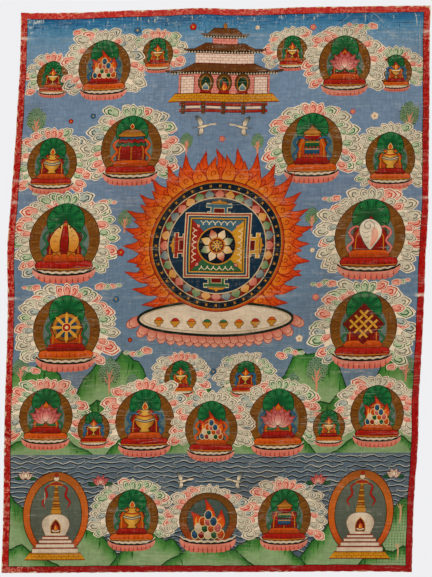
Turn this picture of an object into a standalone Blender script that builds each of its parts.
"""A painted cotton scroll picture without its mounting, hung by its top edge.

The whole thing is one cloth: woven cotton, sized and covered with a chalk ground, painted
on the front, with a red border painted round its rim. It is modelled as one thin sheet with
the uneven outline that such a cloth has, and with the shallow rolls that years of rolling up
have left in it.

Metres, +Z up. The painted face looks along -Y. The origin is the middle of the top edge.
"""

import bpy
import numpy as np

# Driving sizes of the cloth, in metres.
TOP_WIDTH = 0.561        # from corner to corner along the top
BOTTOM_WIDTH = 0.560     # from corner to corner along the foot
DROP = 0.770             # from the middle of the top edge down to the foot
LEAN = 0.026             # how far the foot sits to the left of the top edge
TOP_TILT = 0.010         # how much higher the right top corner is than the left one
FOOT_TILT = 0.001        # the same at the foot
THICKNESS = 0.0012       # cotton with its chalk ground and paint

# Cells of the sheet, across and down.
CELLS_ACROSS = 32
CELLS_DOWN = 44

# How far each edge stands out from the straight line between its corners.
# (share of the way along the edge, metres outwards)
LEFT_EDGE = (
    (0.00, 0.0000), (0.08, -0.0016), (0.18, 0.0002), (0.27, 0.0029), (0.38, 0.0062), (0.42, 0.0071),
    (0.50, 0.0050), (0.67, 0.0037), (0.85, 0.0018), (0.93, 0.0008), (1.00, 0.0000),
)
RIGHT_EDGE = (
    (0.00, 0.0000), (0.07, 0.0004), (0.15, 0.0019), (0.24, 0.0040), (0.36, 0.0060),
    (0.44, 0.0043), (0.53, 0.0046), (0.63, 0.0036), (0.70, 0.0018), (0.77, 0.0026),
    (0.87, 0.0004), (1.00, 0.0000),
)
TOP_EDGE = (
    (0.00, 0.0000), (0.12, -0.0012), (0.25, 0.0002), (0.33, 0.0005), (0.44, 0.0024),
    (0.52, 0.0002), (0.70, 0.0010), (0.90, 0.0006), (1.00, 0.0000),
)
FOOT_EDGE = (
    (0.00, 0.0000), (0.10, 0.0008), (0.35, 0.0000), (0.55, 0.0010), (0.80, 0.0002),
    (1.00, 0.0000),
)

# Shallow rolls that run across the cloth.
# (metres below the top edge, half width in metres, metres towards the front,
#  metres that the right end sits lower than the left end)
ROLLS = (
    (0.000, 0.045, -0.0030, 0.000),
    (0.105, 0.050, 0.0035, 0.020),
    (0.215, 0.042, -0.0022, -0.015),
    (0.335, 0.055, 0.0042, 0.010),
    (0.455, 0.050, -0.0028, -0.020),
    (0.575, 0.055, 0.0036, 0.018),
    (0.690, 0.045, -0.0026, 0.000),
)

# Slow waves from side to side.
# (waves across the width, phase in turns, metres at the top, metres at the foot)
WAVES = (
    (1.0, 0.10, 0.0012, 0.0032),
    (2.5, 0.55, 0.0010, 0.0018),
)

CORNER_CURL = 0.0070     # how far the two lower corners curl to the front
CURL_REACH = 0.16        # size of each curled corner

PAINT_COLOUR = (0.145, 0.160, 0.150, 1.0)
PAINT_ROUGHNESS = 0.82
PAINT_METALLIC = 0.0


def remove_all_objects():
    """Take every object out of the scene."""
    for item in list(bpy.data.objects):
        bpy.data.objects.remove(item, do_unlink=True)


def along_edge(rows, share):
    """Offset of an edge: a cubic through the rows, its slope at each row from its neighbours."""
    stations, offsets = np.array(rows).T
    slopes = np.gradient(offsets, stations)
    index = np.clip(np.searchsorted(stations, share, side="right") - 1, 0, len(stations) - 2)
    step = stations[index + 1] - stations[index]
    t = (share - stations[index]) / step
    start = (1 + 2 * t) * (1 - t) ** 2 * offsets[index] + t * (1 - t) ** 2 * step * slopes[index]
    end = t ** 2 * (3 - 2 * t) * offsets[index + 1] - t ** 2 * (1 - t) * step * slopes[index + 1]
    return start + end


def outline_point(across, down):
    """X and Z of a point of the cloth: a patch blended between its four uneven edges."""
    left_x = -TOP_WIDTH / 2
    right_x = TOP_WIDTH / 2
    foot_left_x = -BOTTOM_WIDTH / 2 - LEAN
    foot_right_x = BOTTOM_WIDTH / 2 - LEAN
    top_z = TOP_TILT * (across - 0.5)
    foot_z = -DROP + FOOT_TILT * (across - 0.5)
    x_on_left = left_x + (foot_left_x - left_x) * down - along_edge(LEFT_EDGE, down)
    x_on_right = right_x + (foot_right_x - right_x) * down + along_edge(RIGHT_EDGE, down)
    z_on_top = top_z + along_edge(TOP_EDGE, across)
    z_on_foot = foot_z - along_edge(FOOT_EDGE, across)
    x = x_on_left + (x_on_right - x_on_left) * across
    z = z_on_top + (z_on_foot - z_on_top) * down
    return x, z


def depth(x, z):
    """Y of the cloth's middle: rolls across it, slow waves and two curled lower corners."""
    from_left = np.clip(x / TOP_WIDTH + 0.5, -0.1, 1.1)
    share_down = np.clip(-z / DROP, 0.0, 1.0)
    forward = np.zeros_like(x)
    for height, half_width, push, slant in ROLLS:
        roll_z = -height - slant * (from_left - 0.5)
        forward += push * np.exp(-((z - roll_z) / half_width) ** 2)
    for count, phase, at_top, at_foot in WAVES:
        size = at_top + (at_foot - at_top) * share_down
        forward += size * np.sin(2 * np.pi * (count * from_left + phase))
    for side in (-1, 1):
        corner_x = side * BOTTOM_WIDTH / 2 - LEAN
        distance = np.hypot(x - corner_x, z + DROP)
        forward += CORNER_CURL * np.clip(1 - distance / CURL_REACH, 0.0, 1.0) ** 2
    return -forward


def painted_finish():
    """Matt mineral paint, as one colour: the mean of the painted face."""
    finish = bpy.data.materials.new("mineral_paint_on_cotton")
    finish.use_nodes = True
    shader = finish.node_tree.nodes["Principled BSDF"]
    shader.inputs["Base Color"].default_value = PAINT_COLOUR
    shader.inputs["Roughness"].default_value = PAINT_ROUGHNESS
    shader.inputs["Metallic"].default_value = PAINT_METALLIC
    finish.diffuse_color = PAINT_COLOUR
    return finish


def painted_cloth():
    """The cloth: a grid of points on its middle surface, thickened to both sides."""
    across, down = np.meshgrid(
        np.linspace(0.0, 1.0, CELLS_ACROSS + 1),
        np.linspace(0.0, 1.0, CELLS_DOWN + 1),
    )
    x, z = outline_point(across, down)
    y = depth(x, z)
    hang_y = np.interp(0.5, across[0], y[0])
    points = np.stack([x, y - hang_y, z], axis=-1).reshape(-1, 3)

    row = CELLS_ACROSS + 1
    corner = (np.arange(CELLS_DOWN)[:, None] * row + np.arange(CELLS_ACROSS)[None, :]).ravel()
    faces = np.stack([corner, corner + row, corner + row + 1, corner + 1], axis=-1)

    mesh = bpy.data.meshes.new("painted_cloth")
    mesh.from_pydata(points.tolist(), [], faces.tolist())
    mesh.materials.append(painted_finish())
    mesh.shade_smooth()
    cloth = bpy.data.objects.new("painted_cloth", mesh)
    bpy.context.scene.collection.objects.link(cloth)

    thicken = cloth.modifiers.new("thickness", "SOLIDIFY")
    thicken.thickness = THICKNESS
    thicken.offset = 0.0
    return cloth


remove_all_objects()
painted_cloth()
